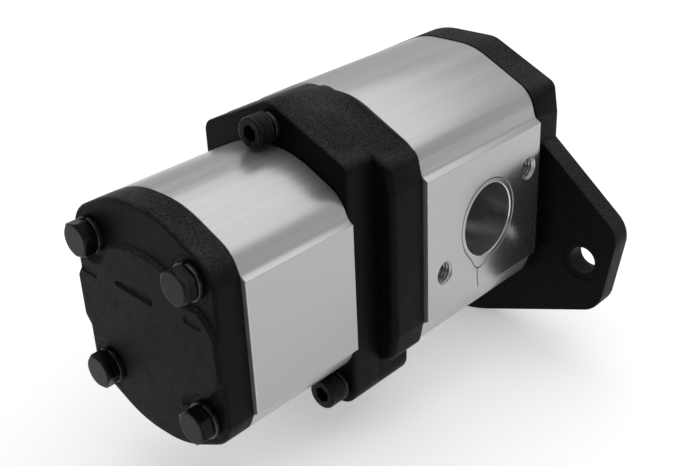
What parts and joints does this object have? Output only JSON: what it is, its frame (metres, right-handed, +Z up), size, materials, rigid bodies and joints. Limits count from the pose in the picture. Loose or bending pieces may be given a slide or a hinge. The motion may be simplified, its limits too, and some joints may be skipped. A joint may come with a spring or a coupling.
{
  "type": "hydraulic gear pump",
  "caption": "Tandem hydraulic gear pump with extruded aluminium bodies between black cast covers, a bolt-on pilot flange, a keyed drive shaft and side ports.",
  "frame": {"origin": "on the drive shaft's axis, in the plane of the mounting face", "axes": "+Y along the shaft out of the mounting face, +X towards the inlet port, +Z up, towards the driven gears"},
  "size_m": [0.1758, 0.2444, 0.1438],
  "materials": {
    "cast_black": "matte black cast",
    "aluminium": "satin, brushed along the axis",
    "black_oxide": "black oxide",
    "gear_steel": "ground",
    "bearing_metal": "machined",
    "bronze": "machined",
    "seal_rubber": "matte",
    "seal_red": "matte"
  },
  "bodies": {
    "housing": {"body_screw_1": "black_oxide", "body_screw_2": "black_oxide", "body_screw_3": "black_oxide", "body_screw_4": "black_oxide", "cover_bolt_1": "black_oxide", "cover_bolt_2": "black_oxide", "cover_bolt_3": "black_oxide", "cover_bolt_4": "black_oxide", "cover_lock_washer_1": "black_oxide", "cover_lock_washer_2": "black_oxide", "cover_lock_washer_3": "black_oxide", "cover_lock_washer_4": "black_oxide", "front_bearing_block_aft": "bearing_metal", "front_bearing_block_fore": "bearing_metal", "front_body": "aluminium", "front_body_seal_aft": "seal_rubber", "front_body_seal_fore": "seal_rubber", "front_bush_aft_drive": "bronze", "front_bush_aft_driven": "bronze", "front_bush_fore_drive": "bronze", "front_bush_fore_driven": "bronze", "front_dowel_1": "gear_steel", "front_dowel_2": "gear_steel", "front_end_cover": "cast_black", "front_pressure_seal_aft": "seal_red", "front_pressure_seal_fore": "seal_red", "interface_seal": "seal_rubber", "mounting_flange": "cast_black", "plate_lock_washer_left": "black_oxide", "plate_lock_washer_right": "black_oxide", "plate_lock_washer_top": "black_oxide", "plate_screw_left": "black_oxide", "plate_screw_right": "black_oxide", "plate_screw_top": "black_oxide", "rear_bearing_block_aft": "bearing_metal", "rear_bearing_block_fore": "bearing_metal", "rear_body": "aluminium", "rear_body_seal_aft": "seal_rubber", "rear_body_seal_fore": "seal_rubber", "rear_bush_aft_drive": "bronze", "rear_bush_aft_driven": "bronze", "rear_bush_fore_drive": "bronze", "rear_bush_fore_driven": "bronze", "rear_cover": "cast_black", "rear_dowel_1": "gear_steel", "rear_dowel_2": "gear_steel", "rear_pressure_seal_aft": "seal_red", "rear_pressure_seal_fore": "seal_red", "rear_pump_flange": "cast_black", "seal_retaining_ring": "gear_steel", "shaft_seal": "seal_rubber"},
    "drive_train": {"drive_gear_shaft": "gear_steel", "shaft_key": "gear_steel", "coupling_sleeve": "gear_steel", "rear_drive_gear_shaft": "gear_steel"},
    "front_driven": {"driven_gear_shaft": "gear_steel"},
    "rear_driven": {"rear_driven_gear_shaft": "gear_steel"}
  },
  "joints": [
    {"name": "drive_spin", "type": "hinge", "parent": "housing", "child": "drive_train", "pos_m": [0, 0, 0], "axis": [0, 1, 0], "continuous": true},
    {"name": "front_driven_spin", "type": "hinge", "parent": "housing", "child": "front_driven", "pos_m": [0, -0.05555, 0.038], "axis": [0, 1, 0], "continuous": true},
    {"name": "rear_driven_spin", "type": "hinge", "parent": "housing", "child": "rear_driven", "pos_m": [0, -0.1559, 0.032], "axis": [0, 1, 0], "continuous": true}
  ],
  "couplings": [
    {"joint": "front_driven_spin", "follows": "drive_spin", "ratio": -1},
    {"joint": "rear_driven_spin", "follows": "drive_spin", "ratio": -1}
  ]
}
